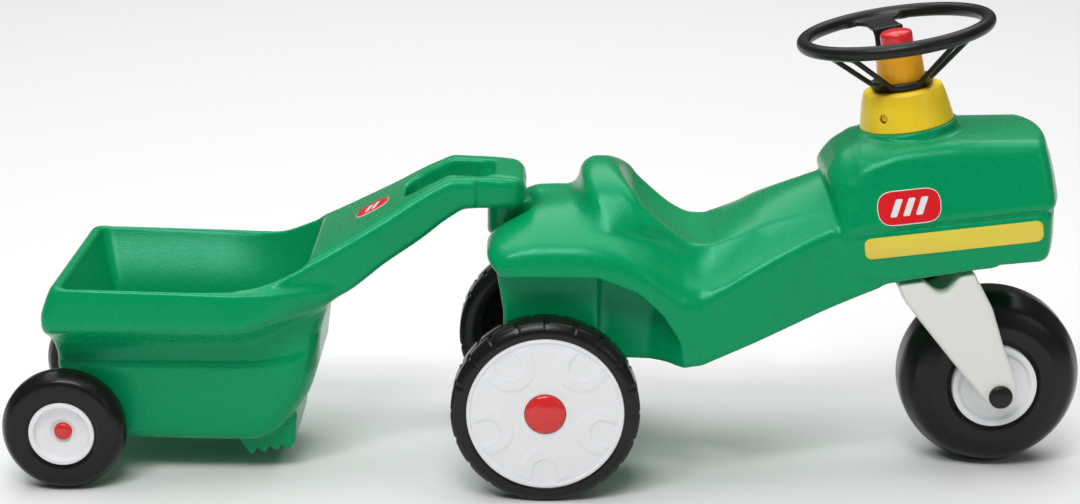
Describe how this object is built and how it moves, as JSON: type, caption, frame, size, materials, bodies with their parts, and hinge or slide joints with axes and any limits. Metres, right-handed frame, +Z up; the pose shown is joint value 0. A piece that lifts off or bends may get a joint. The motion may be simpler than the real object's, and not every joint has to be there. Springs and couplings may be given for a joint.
{
  "type": "toy tractor",
  "caption": "Child's foot-to-floor ride-on toy tractor with a steered front wheel, a horn button and a two-wheeled cart on a lift-off swivel hitch.",
  "frame": {"origin": "on the ground, under the middle of the whole toy with its cart hitched straight behind", "axes": "+X forward, the way the tractor drives; +Y the rider's left; +Z up"},
  "size_m": [1.0764, 0.285, 0.4665],
  "materials": {
    "green_plastic": "satin, fine pebbled moulding texture",
    "yellow_plastic": "semi-gloss",
    "amber_plastic": "semi-gloss",
    "red_plastic": "gloss",
    "black_plastic": "satin, fine grain",
    "tyre_black": "satin, blow-moulded",
    "white_plastic": "semi-gloss",
    "badge_label": "gloss printed film",
    "stripe_label": "gloss printed film",
    "steel": "bright zinc"
  },
  "bodies": {
    "tractor": {"tractor_body": "green_plastic", "dash_collar": "yellow_plastic", "collar_screws": "steel", "steering_bush": "black_plastic", "rear_axle": "steel", "rear_axle_caps": "red_plastic", "hood_badge_left": "badge_label", "hood_badge_right": "badge_label", "hood_stripe_left": "stripe_label", "hood_stripe_right": "stripe_label"},
    "steering": {"fork": "white_plastic", "front_axle": "steel", "front_axle_caps": "black_plastic", "steering_shaft": "steel", "steering_column": "amber_plastic", "steering_wheel": "black_plastic", "horn_bellows": "black_plastic"},
    "horn": {"horn_button": "red_plastic"},
    "front_wheel": {"front_tyre": "tyre_black", "front_hub": "white_plastic"},
    "rear_wheel_left": {"rear_tyre_left": "tyre_black", "rear_disc_left": "white_plastic"},
    "rear_wheel_right": {"rear_tyre_right": "tyre_black", "rear_disc_right": "white_plastic"},
    "cart": {"cart_body": "green_plastic", "cart_axle": "steel", "cart_axle_caps": "red_plastic", "cart_badge": "badge_label"},
    "cart_wheel_left": {"cart_tyre_left": "tyre_black", "cart_hub_left": "white_plastic"},
    "cart_wheel_right": {"cart_tyre_right": "tyre_black", "cart_hub_right": "white_plastic"}
  },
  "joints": [
    {"name": "steer", "type": "hinge", "parent": "tractor", "child": "steering", "pos_m": [0.335, 0, 0.444], "axis": [-0.1712, 0, 0.9852], "range_deg": [-40, 40]},
    {"name": "horn_press", "type": "slide", "parent": "steering", "child": "horn", "axis": [0.1712, 0, -0.9852], "range_m": [0, 0.004], "stiffness_N_per_m": 400, "springref_m": -0.002, "deforming": ["horn_bellows"]},
    {"name": "front_wheel_spin", "type": "hinge", "parent": "steering", "child": "front_wheel", "pos_m": [0.447, 0, 0.0912], "axis": [0, 1, 0], "continuous": true},
    {"name": "rear_wheel_left_spin", "type": "hinge", "parent": "tractor", "child": "rear_wheel_left", "pos_m": [-0.005, 0, 0.092], "axis": [0, 1, 0], "continuous": true},
    {"name": "rear_wheel_right_spin", "type": "hinge", "parent": "tractor", "child": "rear_wheel_right", "pos_m": [-0.005, 0, 0.092], "axis": [0, 1, 0], "continuous": true},
    {"name": "hitch_swing", "type": "hinge", "parent": "tractor", "child": "cart", "pos_m": [-0.042, 0, 0.28], "axis": [0, 0, 1], "range_deg": [-30, 30]},
    {"name": "cart_wheel_left_spin", "type": "hinge", "parent": "cart", "child": "cart_wheel_left", "pos_m": [-0.4775, 0, 0.0607], "axis": [0, 1, 0], "continuous": true},
    {"name": "cart_wheel_right_spin", "type": "hinge", "parent": "cart", "child": "cart_wheel_right", "pos_m": [-0.4775, 0, 0.0607], "axis": [0, 1, 0], "continuous": true}
  ]
}
